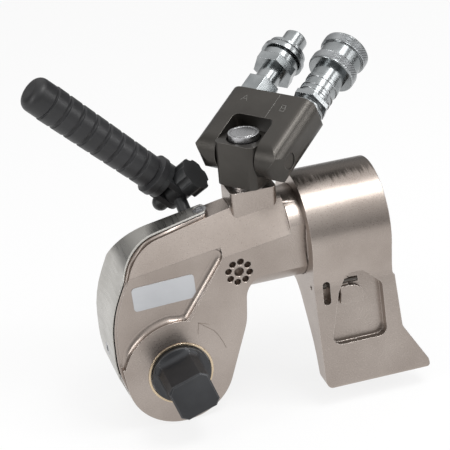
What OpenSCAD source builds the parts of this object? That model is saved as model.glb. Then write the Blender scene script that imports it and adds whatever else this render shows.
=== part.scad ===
// Square-drive hydraulic torque wrench with a slide-on reaction arm, a tilting
// twin-coupler swivel and a positioning handle.
// Origin: square drive axis, in the middle plane of the housing.
// +X runs along the cylinder to the reaction arm, +Z is up, the drive points along -Y.

/* [Drive] */
// Across flats of the square drive
drive_af = 25.4; // [23:0.1:27]
// Length of the square beyond its flange
drive_out = 27; // [22:0.5:34]
// Radius of the bush ring round the drive
bush_r = 20; // [19.5:0.1:21.5]
// Wall of the drive bushes
bush_wall = 1.4; // [1:0.1:2.5]
// Number of ratchet teeth
ratchet_teeth = 32; // [26:1:38]

/* [Housing] */
// Thickness of the housing across its cheeks
body_t = 48; // [44:0.5:52]
// Radius of the nose
nose_r = 33; // [32:0.5:36]
// Height of the cylinder axis above the drive axis
axis_h = 67; // [63:0.5:71]
// Distance from the drive axis to the left edge
head_left = 35.2; // [34:0.2:38]
// Distance from the drive axis to the end of the facets
head_end = 74.3; // [72:0.5:80]
// Depth of the recess in each cheek
recess_d = 4; // [2.5:0.5:5]
// Thickness of the shroud over the open rim
shroud_t = 3; // [2:0.5:3.5]

/* [Cylinder] */
// Outer radius of the barrel
barrel_r = 27.75; // [26.5:0.25:29]
// Radius of the piston bore
bore_r = 17.5; // [16:0.5:18.5]
// Radius of the piston rod
rod_r = 9; // [8:0.5:9.5]
// Where the splined end of the barrel begins
spline_x = 84; // [82:0.5:88]
// Length of the splined end
spline_len = 47; // [42:1:52]
// Angle through which the drive plates swing
swing = 20; // [16:1:20]

/* [Reaction arm] */
// Outer radius of the ring
ring_r = 35.25; // [34:0.25:37]
// Length of the ring along the barrel
ring_len = 49.6; // [46:0.5:54]
// Distance from the drive axis down to the foot
foot_drop = 21.6; // [16:0.5:28]
// Thickness of the leg across its front pocket
leg_t = 12; // [11:0.5:14]
// Reach of the foot's toe beyond the ring
toe_out = 17.5; // [12:0.5:22]

/* [Swivel] */
// Rise of the tilt axis above the top of the head
tilt_rise = 27.8; // [27:0.1:32]
// Turn of the swivel about its post
swivel_turn = 52; // [40:1:60]
// Lean of the couplers from upright
swivel_lean = 66.5; // [55:0.5:72]
// Width of the forked manifold
fork_w = 61; // [58:0.5:66]
// Distance from the tilt axis to the coupler face
fork_h = 38; // [37.5:0.5:44]
// Distance between the two couplers
coupler_pitch = 38; // [36:0.5:41]
// Length of the couplers beyond the fork
coupler_len = 57; // [54:0.5:62]

/* [Handle] */
// Length of the grip from its guard to its tip
grip_len = 98; // [86:1:116]
// Radius of the grip at its thick end
grip_r = 11; // [10.5:0.1:13]
// Lean of the handle from upright
handle_lean = 44.8; // [38:0.2:52]
// Distance from the facet to the handle's eye
eye_reach = 20.8; // [19:0.2:24]

/* [Hidden] */
$fn = 64;

// Clearances and the overrun of the cuts
run_gap = 0.05;
free_gap = 0.3;
over = 1;
arc_step = 7;

// Housing sizes
half_t = body_t / 2;
top_z = axis_h + barrel_r - 0.6;
neck_x = 43.3;
left_edge = 0.62 * axis_h - 0.4 * nose_r;
facet_up = 9;
facet_z = axis_h + facet_up;
facet_rise = atan(0.15);
facet_slope = 1.3;
recess_wall_x = 32.3;
recess_wall_z = axis_h + 3;
recess_foot_x = 9.5;
boss_r = nose_r + 1.5;
spline_root_r = barrel_r - 1.75;
spline_tip_r = barrel_r - 0.35;
spline_teeth = 36;
barrel_end = spline_x + spline_len;

// Mechanism sizes
swing_start = -14.5;
plate_t = 5.4;
wheel_half = 7;
plate_in = wheel_half + free_gap;
plate_out = plate_in + plate_t;
cavity_half = plate_out + free_gap;
hub_r = bush_r - bush_wall - run_gap;
wheel_tip_r = bush_r + 2.4;
wheel_root_r = wheel_tip_r - 1.6;
plate_eye_r = wheel_tip_r + 1.4;
cavity_r = plate_eye_r + 2.6;
pin_r = 5;
pin_eye_r = 8;
pin_x = axis_h * sin(-swing_start);
wall_x = pin_x + pin_eye_r + 3;
stroke = axis_h * (sin(-swing_start) - sin(-swing_start - swing));
cap_len = 13;
cap_r = bore_r + 3;
bore_end = barrel_end - cap_len;
piston_t = 13;
nut_t = 5;
piston_x = bore_end - 0.3 * cap_len - nut_t - 1.5 - piston_t;
bore_start = piston_x - stroke - 2;
rod_seal_w = 3;

// Hole ring on the front cheek
ring_hole_x = 41.2;
ring_hole_z = 58.4;
ring_hole_pcd = 13.1;
ring_hole_r = 1.9;
ring_hole_count = 8;
ring_hole_turn = 12;
ring_hole_depth = 6;
ring_centre_r = 2.8;
ring_chamfer = 0.45;

// Shroud sizes
shroud_half = half_t - recess_d;
shroud_gap = 0.4;
shroud_end_x = 30.5;
shroud_screw_x = 26.5;
shroud_screw_r = 2.5;
shroud_head_r = 4.2;
shroud_head_h = 0.55 * shroud_t;
shroud_head_sink = 0.6 * shroud_t;

// Swivel sizes
post_x = 57.5;
block_w = 28;
block_t = 24;
block_round = 3;
tilt_h = top_z + tilt_rise;
tilt_back = 1.5;
post_r = 7.5;
post_flange_r = 11;
fork_t = 25.6;
fork_round = 9;
fork_foot_round = 11;
fork_top_round = 2;
fork_slot = 28.2;
fork_web = 20.4;
slot_round = 4;
tilt_pin_r = 5;
swivel_w = fork_slot - 2 * free_gap;
swivel_d = fork_t - 1;
swivel_round = 4;
swivel_top = tilt_h + 0.4 * swivel_d + 0.2;
swivel_bottom = tilt_h - 0.69 * swivel_d;
block_top = swivel_bottom - 2;
cap_disc_r = 9.25;
cap_seat_d = 4;
cap_disc_top = swivel_top + 3.6;
circlip_w = 1.1;
circlip_t = 1.6;

// Handle sizes
seat_x = 22.9;
seat_y = 14.8;
eye_r = 8.5;
eye_t = 8;
eye_neck_r = eye_t / 2;
grip_start = 1.82 * eye_r;
stud_r = 4;

// Reaction arm sizes
arm_x = spline_x - 0.6;
arm_end = arm_x + ring_len;
leg_top_z = axis_h - 0.624 * ring_r;
leg_top_y = ring_r - 2.25;
leg_lean = 10.63;
arm_gap = 0.25;

function unit(v) = v / norm(v);

// Arc of radius r that rounds the corner b between a and c
function fillet(a, b, c, r) =
    let (u = unit(a - b), v = unit(c - b),
         half = acos(u * v) / 2,
         centre = b + unit(u + v) * r / sin(half),
         start = b + u * r / tan(half) - centre,
         first = atan2(start[1], start[0]),
         turn = 180 - 2 * half,
         way = u[0] * v[1] - u[1] * v[0] > 0 ? -1 : 1,
         steps = max(2, ceil(turn / arc_step)))
    [for (i = [0 : steps]) centre + r * [cos(first + way * turn * i / steps),
                                         sin(first + way * turn * i / steps)]];

// Outline whose corners [x, y, radius] are rounded
function rounded(pts) =
    let (n = len(pts))
    [for (i = [0 : n - 1])
        let (a = pts[(i + n - 1) % n], b = pts[i], c = pts[(i + 1) % n])
        each b[2] == 0 ? [[b[0], b[1]]]
                       : fillet([a[0], a[1]], [b[0], b[1]], [c[0], c[1]], b[2])];

function polar(r, a) = [r * cos(a), r * sin(a)];

// Straight-sided teeth round a circle
function spline_outline(n, tip, root, slack) =
    [for (i = [0 : n - 1]) let (a = i * 360 / n, s = 360 / n, w = slack / (2 * PI * root) * 360)
        each [polar(root, a - 0.30 * s - w), polar(tip, a - 0.17 * s - w),
              polar(tip, a + 0.17 * s + w), polar(root, a + 0.30 * s + w)]];

// Saw teeth round a circle
function saw_outline(n, tip, root) =
    [for (i = [0 : n - 1]) let (a = i * 360 / n, s = 360 / n)
        each [polar(root, a), polar(tip, a + 0.12 * s), polar(tip, a + 0.28 * s),
              polar(root, a + 0.92 * s)]];

// Solid of an XZ outline between two Y planes
module plate(pts, y0, y1) {
    translate([0, y1, 0]) rotate([90, 0, 0]) linear_extrude(y1 - y0) polygon(pts);
}

// Cylinders along Y and along X
module round_y(r, y0, y1) {
    translate([0, y1, 0]) rotate([90, 0, 0]) cylinder(h = y1 - y0, r = r);
}

module round_x(r, x0, x1) {
    translate([x0, 0, 0]) rotate([0, 90, 0]) cylinder(h = x1 - x0, r = r);
}

module slab(x0, x1, y0, y1, z0, z1) {
    translate([x0, y0, z0]) cube([x1 - x0, y1 - y0, z1 - z0]);
}

// Hexagonal bar along Z, measured across its flats
module hexagon(af, h) {
    cylinder(h = h, d = af / cos(30), $fn = 6);
}

module both_sides() {
    children();
    mirror([0, 1, 0]) children();
}

module at_cylinder_axis() {
    translate([0, 0, axis_h]) children();
}

// Side outline of the head above the nose circle; grow moves its free rim outward
function head_outline(grow) = rounded([
    [nose_r * cos(188) - grow, nose_r * sin(188), 0],
    [-head_left - grow, 0.4 * nose_r, 2.33 * left_edge],
    [-head_left - grow, 0.4 * nose_r + left_edge + 0.2 * grow, 2.56 * left_edge],
    [-0.52 * head_left - 0.8 * grow, axis_h + 0.46 * barrel_r + grow, 0.97 * nose_r],
    [neck_x, top_z - 1.2 + grow, nose_r],
    [head_end, top_z + grow, 0],
    [head_end, axis_h - 0.5 * barrel_r, 0],
    [neck_x + 0.06 * nose_r, axis_h - 0.5 * barrel_r, 0.4 * nose_r],
    [neck_x, 0.37 * axis_h, nose_r],
    [nose_r * cos(-17), nose_r * sin(-17), 0],
    [0, 0, 0]]);

// Space above the big chamfer on the -Y side
module facet_cut() {
    reach = 2 * body_t;
    slope = facet_slope * cos(facet_rise);
    intersection() {
        translate([head_end, -half_t, facet_z]) rotate([0, -facet_rise, 0])
            translate([-2 * reach, 0, 0]) rotate([90, 0, 90]) linear_extrude(3 * reach)
                polygon([[-reach, -reach * slope], [reach, reach * slope],
                         [-reach, reach * slope]]);
        slab(-3 * reach, head_end, -reach, 0, 0, 3 * reach);
    }
}

// Recessed part of a cheek, up and left of the raised boss round the drive
module recess_cut() {
    far = 2 * nose_r + head_left;
    difference() {
        plate(rounded([
            [-far, 0.3 * nose_r, 0], [-far, 2 * axis_h, 0], [recess_wall_x, 2 * axis_h, 0],
            [recess_wall_x, recess_wall_z, 0.4 * nose_r],
            [recess_foot_x, boss_r, 0], [0, 0.3 * nose_r, 0]]),
            -half_t - over, -half_t + recess_d);
        round_y(boss_r, -half_t - 2 * over, half_t);
    }
}

// Ring of holes with countersunk edges
module ring_holes() {
    translate([ring_hole_x, -half_t, ring_hole_z]) rotate([-90, 0, 0]) {
        for (i = [0 : ring_hole_count - 1])
            rotate([0, 0, i * 360 / ring_hole_count + ring_hole_turn])
                translate([ring_hole_pcd / 2, 0, 0]) countersunk_hole(ring_hole_r, ring_hole_depth);
        countersunk_hole(ring_centre_r, ring_hole_depth);
    }
}

module countersunk_hole(r, depth) {
    translate([0, 0, -over]) cylinder(h = depth + over, r = r, $fn = 32);
    translate([0, 0, -ring_chamfer])
        cylinder(h = 2 * ring_chamfer, r1 = r + 2 * ring_chamfer, r2 = r, $fn = 32);
}

// Chamber for the ratchet and the drive plates, open to the rim; its roof falls away to the
// left, under the facets
module cavity() {
    round_y(cavity_r, -cavity_half, cavity_half);
    plate([[0, -cavity_r * 0.2], [cavity_r * 0.98, 0.2 * cavity_r],
           [wall_x, axis_h - 1.6 * pin_eye_r], [wall_x, axis_h + 1.4 * pin_eye_r],
           [pin_x - stroke - 0.2 * pin_eye_r, axis_h + 1.2 * pin_eye_r],
           [-2 * nose_r, 0.8 * axis_h], [-2 * nose_r, 0.35 * axis_h],
           [-0.95 * cavity_r, 0.3 * cavity_r]], -cavity_half, cavity_half);
}

// Head with its facets, and the plain length of the barrel
module head_blank() {
    difference() {
        union() {
            round_y(nose_r, -half_t, half_t);
            plate(head_outline(0), -half_t, half_t);
        }
        both_sides() facet_cut();
        both_sides() recess_cut();
    }
    at_cylinder_axis() intersection() {
        round_x(barrel_r, neck_x, spline_x);
        slab(neck_x, spline_x, -half_t, half_t, -barrel_r, barrel_r);
    }
}

module housing() {
    color([0.70, 0.63, 0.59])
    difference() {
        union() {
            head_blank();
            at_cylinder_axis() translate([spline_x, 0, 0]) rotate([90, 0, 90])
                linear_extrude(spline_len)
                    polygon(spline_outline(spline_teeth, spline_tip_r, spline_root_r, 0));
        }
        // Mechanism chamber and drive bush bores
        cavity();
        round_y(bush_r, -half_t - over, half_t + over);
        // Piston bore, rod hole and end cap seat
        at_cylinder_axis() {
            round_x(bore_r, bore_start, bore_end + over);
            round_x(cap_r, bore_end, barrel_end + over);
            round_x(rod_r + run_gap, wall_x - over, bore_start + over);
            round_x(rod_r + rod_seal_w, bore_start - 2 * rod_seal_w, bore_start - rod_seal_w);
        }
        // Oil port up to the swivel post, and the post's threaded seat
        translate([post_x, 0, top_z - post_seat_d])
            cylinder(h = post_seat_d + over, r = post_r + run_gap);
        ring_holes();
        shroud_screw_holes();
        handle_seat_hole();
        lock_groove();
    }
}

post_seat_d = 7;

// Tapped seat for the handle's eye bolt on the +Y facet
eye_thread_r = 4;
eye_seat_d = 9;
eye_tap_d = eye_seat_d + over;

facet_n = unit([-tan(facet_rise), facet_slope, 1]);
seat_z = facet_z + tan(facet_rise) * (seat_x - head_end) + facet_slope * (half_t - seat_y);

// Moves children so that +Z is the outward normal of the +Y facet at the handle seat
module at_handle_seat() {
    translate([seat_x, seat_y, seat_z])
        rotate([0, 0, atan2(facet_n[1], facet_n[0])]) rotate([0, acos(facet_n[2]), 0]) children();
}

module handle_seat_hole() {
    at_handle_seat() translate([0, 0, -eye_tap_d]) cylinder(h = eye_tap_d + over, r = eye_thread_r, $fn = 32);
}

// Groove across the splines that the lock lever drops into
lock_in = 16.3;
lock_x = arm_x + lock_in;
lock_w = 7;
lock_d = 2.5;
module lock_groove() {
    at_cylinder_axis() intersection() {
        difference() {
            round_x(barrel_r + over, lock_x, lock_x + lock_w);
            round_x(spline_root_r - lock_d + 1.2, lock_x - over, lock_x + lock_w + over);
        }
        slab(lock_x - over, lock_x + lock_w + over, -2 * barrel_r, 0, -barrel_r, 0);
    }
}

module end_cap() {
    color([0.55, 0.55, 0.56])
    at_cylinder_axis() difference() {
        union() {
            round_x(bore_r - run_gap, bore_end - 0.3 * cap_len, bore_end + over);
            round_x(cap_r, bore_end, barrel_end - 1);
        }
        for (a = [0, 180]) rotate([a, 0, 0]) translate([0, 0.66 * cap_r, 0])
            round_x(0.12 * cap_r, barrel_end - 0.5 * cap_len, barrel_end + over);
        // Seal groove
        difference() {
            round_x(bore_r + over, bore_end - 0.22 * cap_len, bore_end - 0.06 * cap_len);
            round_x(bore_r - 0.14 * cap_len, bore_end - cap_len, bore_end + cap_len);
        }
    }
}

module end_cap_seal() {
    color([0.05, 0.05, 0.05])
    at_cylinder_axis() difference() {
        round_x(bore_r - run_gap, bore_end - 0.22 * cap_len, bore_end - 0.06 * cap_len);
        round_x(bore_r - 0.14 * cap_len, bore_end - cap_len, bore_end + cap_len);
    }
}

module rod_seal() {
    color([0.1, 0.1, 0.1])
    at_cylinder_axis() difference() {
        round_x(rod_r + rod_seal_w, bore_start - 2 * rod_seal_w, bore_start - rod_seal_w);
        round_x(rod_r + run_gap, bore_start - 3 * rod_seal_w, bore_start);
    }
}

module bush(y0, y1) {
    difference() {
        round_y(bush_r, y0, y1);
        round_y(bush_r - bush_wall, y0 - over, y1 + over);
    }
}

module bush_front() {
    color([0.80, 0.68, 0.50]) bush(-half_t - 0.4, -cavity_half);
}

module bush_back() {
    color([0.80, 0.68, 0.50]) bush(cavity_half, half_t + 0.4);
}

// Band over the open rim of the head, cut to the facets
module shroud() {
    color([0.74, 0.73, 0.72])
    difference() {
        intersection() {
            difference() {
                plate(head_outline(shroud_t), -shroud_half, shroud_half);
                plate(head_outline(0), -half_t, half_t);
                round_y(nose_r, -half_t, half_t);
            }
            slab(-2 * nose_r, shroud_end_x, -half_t, half_t, 0.08 * nose_r, 2 * axis_h);
        }
        both_sides() translate([0, shroud_gap, 0]) facet_cut();
        shroud_screw_holes();
        // Rounded right end
        difference() {
            slab(shroud_end_x - shroud_tip_r, shroud_end_x + over, -half_t, half_t, axis_h, 2 * axis_h);
            translate([shroud_end_x - shroud_tip_r, 0, axis_h]) cylinder(h = axis_h, r = shroud_tip_r);
        }
    }
}

shroud_tip_r = 8;

// Places of the shroud's screws: [x, z, tilt of the screw from upright]
rim_slope = 12.2;
module at_shroud_screws() {
    translate([shroud_screw_x, 0, shroud_screw_z]) rotate([0, -rim_slope, 0]) children();
    translate([-head_left - shroud_t, 0, 0.42 * nose_r]) rotate([0, -90, 0]) children();
}

shroud_screw_z = top_z - 1.2 + shroud_t - (neck_x - shroud_screw_x) * tan(rim_slope);
screw_len = 9;

module shroud_screw_holes() {
    at_shroud_screws() {
        translate([0, 0, -screw_len - shroud_t])
            cylinder(h = screw_len + 2 * shroud_t, r = shroud_screw_r, $fn = 32);
        translate([0, 0, -shroud_head_sink])
            cylinder(h = 2 * shroud_t, r = shroud_head_r + run_gap, $fn = 32);
    }
}

module shroud_screws() {
    color([0.45, 0.45, 0.46])
    at_shroud_screws() difference() {
        union() {
            translate([0, 0, -screw_len])
                cylinder(h = screw_len - shroud_head_sink, r = shroud_screw_r - run_gap, $fn = 32);
            translate([0, 0, -shroud_head_sink])
                cylinder(h = shroud_head_h, r = shroud_head_r, $fn = 32);
        }
        translate([0, 0, -0.9 * shroud_head_sink]) hexagon(shroud_head_r, shroud_head_sink);
    }
}

// Mechanism: ratchet wheel, drive and the plates that swing about the drive axis

module ratchet_wheel() {
    color([0.42, 0.42, 0.44])
    difference() {
        union() {
            plate(saw_outline(ratchet_teeth, wheel_tip_r, wheel_root_r), -wheel_half, wheel_half);
            round_y(hub_r, -half_t + 0.6, half_t - 0.6);
        }
        rotate([0, drive_turn, 0])
            plate(spline_outline(shaft_teeth, shaft_tip_r + run_gap, shaft_root_r + run_gap, run_gap),
                  -half_t, half_t);
    }
}

shaft_teeth = 18;
shaft_tip_r = 13.6;
shaft_root_r = 12.4;
drive_flange_t = 3.4;
drive_face = -half_t - 3;
drive_end = drive_face - drive_out;
drive_turn = -18.6;
drive_corner = 0.115 * drive_af;
detent_r = 0.125 * drive_af;

module square_drive() {
    half = drive_af / 2;
    color([0.13, 0.13, 0.14])
    rotate([0, drive_turn, 0]) difference() {
        union() {
            plate(spline_outline(shaft_teeth, shaft_tip_r, shaft_root_r, 0), -half_t + 0.4, half_t - 1);
            round_y(hub_r - 0.4, drive_face, drive_face + drive_flange_t);
            // Square with broken corners, a chamfered end and a blended root
            intersection() {
                slab(-half, half, drive_end, drive_face + over, -half, half);
                rotate([0, 45, 0])
                    slab(-drive_across, drive_across, drive_end, drive_face + over,
                         -drive_across, drive_across);
                translate([0, drive_end, 0]) rotate([-90, 0, 0])
                    cylinder(h = drive_out + 2 * over, r1 = drive_across - 0.1 * drive_af,
                             r2 = drive_across - 0.1 * drive_af + drive_out + 2 * over);
            }
            translate([0, drive_face - root_blend, 0]) rotate([-90, 0, 0])
                cylinder(h = root_blend + over / 2, r1 = half, r2 = hub_r - 1);
        }
        // Detent hole for a socket's locking pin
        translate([-half - over, drive_face - 0.55 * drive_out, 0]) rotate([0, 90, 0])
            cylinder(h = 0.4 * drive_af, r = detent_r, $fn = 32);
        // Seat for the retainer's screw
        round_y(retainer_stem_r + run_gap, half_t - retainer_stem_len, half_t);
    }
}

drive_across = drive_af / sqrt(2) - drive_corner / sqrt(2) + 0.9;
root_blend = 3;
retainer_r = 12;
retainer_stem_r = 6;
retainer_stem_len = 9;
button_r = 4;
button_travel = 2.5;

module drive_retainer() {
    color([0.16, 0.16, 0.17])
    difference() {
        union() {
            round_y(retainer_r, half_t + 0.4, half_t + 2.8);
            round_y(retainer_stem_r, half_t - retainer_stem_len, half_t + over);
        }
        round_y(button_r + run_gap, half_t - retainer_stem_len + 2, half_t + 2 * over + 3);
    }
}

module release_button() {
    color([0.70, 0.70, 0.72])
    difference() {
        round_y(button_r, half_t - retainer_stem_len + 2 + button_travel + free_gap, half_t + 4.6);
        translate([0, half_t + 4.6, 0]) sphere(r = 0.5 * button_r);
    }
}

// Moves children so that +Z runs from the drive axis to the rod pin
module on_lever() {
    rotate([0, -swing_start, 0]) children();
}

pawl_w = 2 * wheel_half - 2 * free_gap;
pawl_h = 1.1 * wheel_tip_r;
pawl_pin_z = wheel_tip_r + 0.62 * pawl_h;
pawl_pin_r = 3;
pawl_gap = 0.35;
pawl_lift = wheel_tip_r - wheel_root_r + 0.2;
slot_gap = 0.25;

module drive_plates() {
    color([0.36, 0.36, 0.38])
    on_lever() both_sides() difference() {
        plate(concat(
            [for (a = [150 : 10 : 390]) polar(plate_eye_r, a)],
            [for (a = [0 : 10 : 180]) [0, axis_h] + polar(pin_eye_r, a)]),
            plate_in, plate_out);
        round_y(hub_r + run_gap, 0, half_t);
        translate([0, 0, axis_h]) round_y(pin_r + run_gap, 0, half_t);
        translate([0, 0, pawl_pin_z]) round_y(pawl_pin_r + run_gap, 0, half_t);
    }
}

// Toothed shoe that turns the ratchet wheel, drawn just clear of the teeth; it rides up
// along its slotted pin on the return stroke
module drive_pawl() {
    foot = 0.45 * wheel_tip_r;
    crown = 0.24 * wheel_tip_r;
    color([0.48, 0.48, 0.50])
    on_lever() difference() {
        plate(rounded([
            [-foot, 0.85 * wheel_tip_r, 0.1 * foot], [foot, 0.85 * wheel_tip_r, 0.1 * foot],
            [foot, wheel_tip_r + 0.33 * pawl_h, 0.3 * foot], [crown, wheel_tip_r + 0.88 * pawl_h, 0.6 * crown],
            [-crown, wheel_tip_r + 0.88 * pawl_h, 0.6 * crown],
            [-foot, wheel_tip_r + 0.33 * pawl_h, 0.3 * foot]]),
            -pawl_w / 2, pawl_w / 2);
        rotate([0, 360 / ratchet_teeth / 2 , 0])
            plate(saw_outline(ratchet_teeth, wheel_tip_r + wheel_tip_r - wheel_root_r + pawl_gap,
                              wheel_tip_r + pawl_gap), -half_t, half_t);
        plate(concat(
            [for (a = [0 : 10 : 180]) [0, pawl_pin_z] + polar(pawl_pin_r + slot_gap, a)],
            [for (a = [180 : 10 : 360]) [0, pawl_pin_z - pawl_lift] + polar(pawl_pin_r + slot_gap, a)]),
            -half_t, half_t);
    }
}

module pawl_pin() {
    color([0.6, 0.6, 0.62])
    on_lever() translate([0, 0, pawl_pin_z])
        round_y(pawl_pin_r, -plate_out, plate_out);
}

module rod_pin() {
    color([0.6, 0.6, 0.62])
    on_lever() translate([0, 0, axis_h]) round_y(pin_r, -plate_out, plate_out);
}

// Rod with a flattened eye; its slot lets the pin rise and fall as the plates swing
module piston_rod() {
    flat_end = pin_x + pin_eye_r + 2;
    pin_z = axis_h * cos(swing_start);
    color([0.66, 0.66, 0.68])
    difference() {
        union() {
            at_cylinder_axis() round_x(rod_r, flat_end, piston_x);
            at_cylinder_axis() round_x(rod_nose_r, piston_x - over, piston_x + piston_t + nut_t);
            intersection() {
                translate([0, 0, axis_h]) round_x(rod_r, pin_x - rod_r, flat_end + over);
                slab(pin_x - 2 * rod_r, flat_end + 2 * over, -pawl_w / 2, pawl_w / 2, 0, 2 * axis_h);
                union() {
                    translate([pin_x, 0, axis_h]) round_y(rod_r, -half_t, half_t);
                    slab(pin_x, flat_end + 2 * over, -half_t, half_t, 0, 2 * axis_h);
                }
            }
        }
        plate(concat(
            [for (a = [0 : 10 : 180]) [pin_x, axis_h] + polar(pin_r + slot_gap, a)],
            [for (a = [180 : 10 : 360]) [pin_x, pin_z] + polar(pin_r + slot_gap, a)]),
            -half_t, half_t);
    }
}

rod_nose_r = 5.5;
nut_r = 9;
seal_w = 4;
seal_d = 2.2;

module piston() {
    color([0.60, 0.60, 0.62])
    at_cylinder_axis() difference() {
        round_x(bore_r - run_gap, piston_x, piston_x + piston_t);
        round_x(rod_nose_r, piston_x - over, piston_x + piston_t + over);
        difference() {
            round_x(bore_r + over, piston_x + 0.5 * (piston_t - seal_w), piston_x + 0.5 * (piston_t + seal_w));
            round_x(bore_r - seal_d, piston_x - over, piston_x + piston_t + over);
        }
    }
}

module piston_seal() {
    color([0.08, 0.08, 0.08])
    at_cylinder_axis() difference() {
        round_x(bore_r - run_gap, piston_x + 0.5 * (piston_t - seal_w), piston_x + 0.5 * (piston_t + seal_w));
        round_x(bore_r - seal_d, piston_x - over, piston_x + piston_t + over);
    }
}

module piston_nut() {
    color([0.3, 0.3, 0.32])
    at_cylinder_axis() difference() {
        translate([piston_x + piston_t, 0, 0]) rotate([0, 90, 0]) hexagon(2 * nut_r * cos(30), nut_t);
        round_x(rod_nose_r, piston_x, piston_x + 2 * piston_t);
    }
}

// Swivel: block that turns about the post, and a forked manifold that tilts on it

module at_post() {
    translate([post_x, 0, 0]) rotate([0, 0, -swivel_turn]) children();
}

module at_tilt_axis() {
    at_post() translate([0, tilt_back, tilt_h]) children();
}

module at_tilt() {
    at_tilt_axis() rotate([-swivel_lean, 0, 0]) children();
}

// Rectangle of w by t about the origin with rounded corners
function pad(w, t, r) = rounded([
    [-w / 2, -t / 2, r], [w / 2, -t / 2, r], [w / 2, t / 2, r], [-w / 2, t / 2, r]]);

// Block seated on the round of the barrel and the flat of the head
module manifold_block() {
    color([0.62, 0.58, 0.55])
    difference() {
        translate([post_x, 0, top_z - block_round]) linear_extrude(block_top - top_z + block_round)
            polygon(pad(block_w, block_t, block_round));
        translate([post_x, 0, 0]) cylinder(h = 2 * axis_h, r = post_r + run_gap);
        head_blank();
    }
}

module swivel_post() {
    color([0.40, 0.40, 0.42])
    translate([post_x, 0, 0]) {
        translate([0, 0, top_z - post_seat_d])
            cylinder(h = swivel_top - cap_seat_d - top_z + post_seat_d, r = post_r);
        translate([0, 0, block_top])
            cylinder(h = swivel_bottom - free_gap - block_top, r = post_flange_r);
    }
}

module swivel_block() {
    color([0.16, 0.16, 0.165])
    difference() {
        at_post() difference() {
            translate([0, 0, swivel_bottom]) linear_extrude(swivel_top - swivel_bottom)
                polygon(pad(swivel_w, swivel_d, swivel_round));
            translate([0, 0, swivel_bottom - over]) cylinder(h = 2 * swivel_d, r = post_r + run_gap);
            translate([0, 0, swivel_top - cap_seat_d])
                cylinder(h = 2 * cap_seat_d, r = cap_disc_r + circlip_w + run_gap);
        }
        at_tilt_axis() for (side = [0, 180]) rotate([0, 0, side])
            round_x(tilt_pin_r, swivel_w / 2 - pin_sink, swivel_w);
    }
}

pin_sink = 4;

module swivel_cap() {
    groove = 0.07 * cap_disc_r;
    color([0.66, 0.67, 0.68])
    translate([post_x, 0, swivel_top - cap_seat_d]) difference() {
        cylinder(h = cap_disc_top - swivel_top + cap_seat_d, r = cap_disc_r);
        translate([0, 0, cap_disc_top - swivel_top + cap_seat_d - groove / 2]) difference() {
            cylinder(h = groove, r = 0.86 * cap_disc_r);
            cylinder(h = groove, r = 0.86 * cap_disc_r - groove);
        }
    }
}

// Open ring round the cap, with two lugs for the pliers
module swivel_circlip() {
    lug = 1.2 * circlip_w;
    color([0.30, 0.30, 0.31])
    translate([post_x, 0, swivel_top - cap_seat_d]) difference() {
        cylinder(h = circlip_t, r = cap_disc_r + circlip_w);
        translate([0, 0, -over]) cylinder(h = 2 * cap_seat_d, r = cap_disc_r);
        rotate([0, 0, -swivel_turn])
            slab(-lug, lug, -2 * cap_disc_r, 0, -over, 2 * cap_seat_d);
    }
}

module tilt_pins() {
    color([0.35, 0.35, 0.36])
    at_tilt_axis() for (side = [0, 180]) rotate([0, 0, side])
        round_x(tilt_pin_r, swivel_w / 2 - pin_sink, fork_w / 2 - 2 * free_gap);
}

// Two legs that pivot on the tilt pins, joined by the web the couplers screw into
module fork_manifold() {
    color([0.17, 0.17, 0.175])
    at_tilt() difference() {
        intersection() {
            union() {
                round_x(fork_t / 2, -fork_w / 2, fork_w / 2);
                slab(-fork_w / 2, fork_w / 2, -fork_t / 2, fork_t / 2, 0, fork_h);
            }
            translate([0, 0, -fork_t]) linear_extrude(fork_h + fork_t)
                polygon(pad(fork_w, fork_t, fork_round));
            plate(rounded([
                [-fork_w / 2, -fork_t / 2, fork_foot_round], [fork_w / 2, -fork_t / 2, fork_foot_round],
                [fork_w / 2, fork_h, fork_top_round], [-fork_w / 2, fork_h, fork_top_round]]),
                -fork_t, fork_t);
        }
        plate(rounded([
            [-fork_slot / 2, -fork_t, 0], [fork_slot / 2, -fork_t, 0],
            [fork_slot / 2, fork_h - fork_web, slot_round],
            [-fork_slot / 2, fork_h - fork_web, slot_round]]), -fork_t, fork_t);
        round_x(tilt_pin_r + run_gap, -fork_w, fork_w);
        for (side = [-1, 1]) translate([side * coupler_pitch / 2, 0, fork_h - port_d])
            cylinder(h = port_d + over, r = port_r + run_gap);
    }
}

// Coupler sizes, worked out from the length and the widest radius of the couplers
port_d = 9;
port_r = 6;
washer_r = 11;
washer_t = 1.8;
sleeve_r = 14.6;
flow_r = 3.2;
poppet_r = 5;
sleeve_travel = 3;
nipple_len = 0.456 * coupler_len;
nipple_hex = 0.214 * coupler_len;
nipple_af = 1.335 * sleeve_r;
nipple_neck_r = 0.514 * sleeve_r;
advance_len = coupler_len - nipple_len;
advance_af = 1.644 * sleeve_r;
advance_nose_r = 0.514 * sleeve_r;
adapter_len = 0.154 * coupler_len;
adapter_af = 1.44 * sleeve_r;
sleeve_end = 0.965 * coupler_len;
retract_len = sleeve_end - free_gap - adapter_len;
retract_r = 0.692 * sleeve_r;
socket_d = 0.4 * retract_len;
socket_r = advance_nose_r + free_gap;
sleeve_len = 0.395 * coupler_len;
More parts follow.
